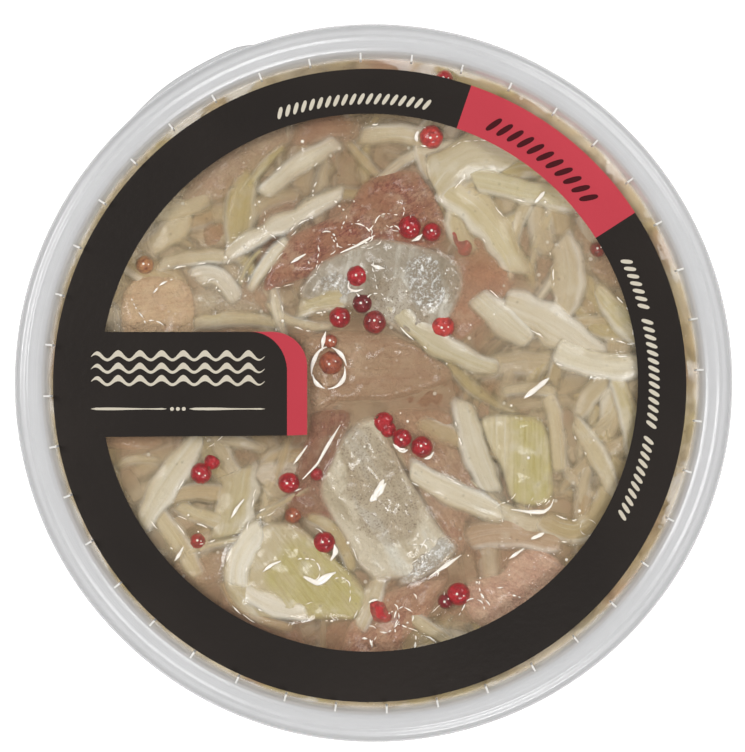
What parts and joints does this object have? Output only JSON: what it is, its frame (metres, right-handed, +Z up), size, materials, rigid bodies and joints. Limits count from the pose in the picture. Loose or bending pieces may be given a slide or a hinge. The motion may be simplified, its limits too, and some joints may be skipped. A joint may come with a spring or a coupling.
{
  "type": "pickled herring in a round lidded tub",
  "caption": "Clear round tapered tub with a press-on lid and a printed ring, filled with pickled herring pieces, onion strips and pink peppercorns.",
  "frame": {"origin": "middle of the foot ring, in the plane that the tub stands on", "axes": "+Z up through the lid, +Y to the top of the print, +X to its right"},
  "size_m": [0.133, 0.133, 0.056],
  "materials": {
    "tub_plastic": "clear, slightly cloudy moulded plastic",
    "lid_plastic": "clear moulded plastic, cloudy at its rim",
    "print_ink": "satin ink, nearly black, with red fields",
    "herring": "wet pickled fish, tan flesh with silver skin",
    "onion": "wet pickled onion, cream to yellow-green",
    "peppercorn": "wet red peppercorn",
    "brine": "clear brine with a wet, uneven surface"
  },
  "bodies": {
    "root": {"tub": "tub_plastic", "lid": "lid_plastic", "lid_print": "print_ink", "herring_heap": "herring"}
  },
  "joints": []
}
